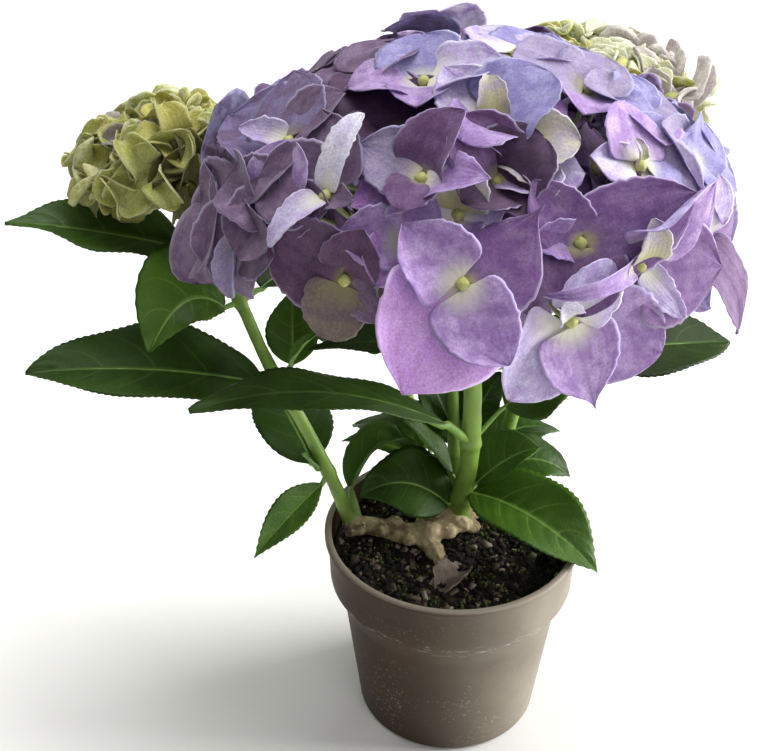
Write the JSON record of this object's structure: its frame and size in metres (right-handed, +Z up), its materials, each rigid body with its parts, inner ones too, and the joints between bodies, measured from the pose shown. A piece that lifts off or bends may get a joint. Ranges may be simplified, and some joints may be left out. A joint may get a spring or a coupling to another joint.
{
  "type": "potted hydrangea shrub",
  "caption": "Young mophead hydrangea in a small round nursery pot: one big lilac flower head, two unripe green heads, broad toothed leaves on green stems.",
  "frame": {"origin": "middle of the pot's flat underside, at the surface it stands on", "axes": "+Z up; -Y the plant's open side, where the big lilac head leans out; +X to the right seen from there"},
  "size_m": [0.334, 0.2943, 0.3404],
  "materials": {
    "pot_plastic": "thin moulded taupe plastic with a dull sheen, scuffed white along the shoulder",
    "potting_soil": "dark crumbly peat with bark chips and moss",
    "old_wood": "rough tan-grey bark with pale knobs",
    "green_stem": "smooth pale green skin with small dark specks",
    "leaf_blade": "dark green, slightly glossy, with paler sunken veins",
    "lilac_sepal": "soft matt lilac with a cream base, fine veins and a pale rim",
    "green_sepal": "soft matt yellow-green, a little translucent"
  },
  "bodies": {
    "root": {"pot": "pot_plastic", "potting_soil": "potting_soil", "woody_base": "old_wood", "stem_centre_1": "green_stem", "stem_centre_2": "green_stem", "stem_centre_3": "green_stem", "stem_centre_4": "green_stem", "stem_left_1": "green_stem", "stem_left_2": "green_stem", "stem_left_3": "green_stem", "stem_left_4": "green_stem", "stem_left_5": "green_stem", "stem_right_1": "green_stem", "stem_right_2": "green_stem", "stem_right_3": "green_stem", "stem_young_1": "green_stem", "stem_young_2": "green_stem", "stem_back_1": "green_stem", "stem_back_2": "green_stem", "stem_back_3": "green_stem", "leaves_centre_low": "leaf_blade", "leaves_centre_middle": "leaf_blade", "leaves_centre_top": "leaf_blade", "leaves_left_low": "leaf_blade", "leaves_left_middle": "leaf_blade", "leaves_left_high": "leaf_blade", "leaves_left_top": "leaf_blade", "leaves_right_low": "leaf_blade", "leaves_right_high": "leaf_blade", "leaves_young_low": "leaf_blade", "leaves_young_top": "leaf_blade", "leaves_back_low": "leaf_blade", "leaves_back_high": "leaf_blade", "leaves_back_top": "leaf_blade", "leaves_base": "leaf_blade", "flower_head_lilac": "lilac_sepal", "flower_head_green_left": "green_sepal", "flower_head_green_right": "green_sepal"}
  },
  "joints": []
}
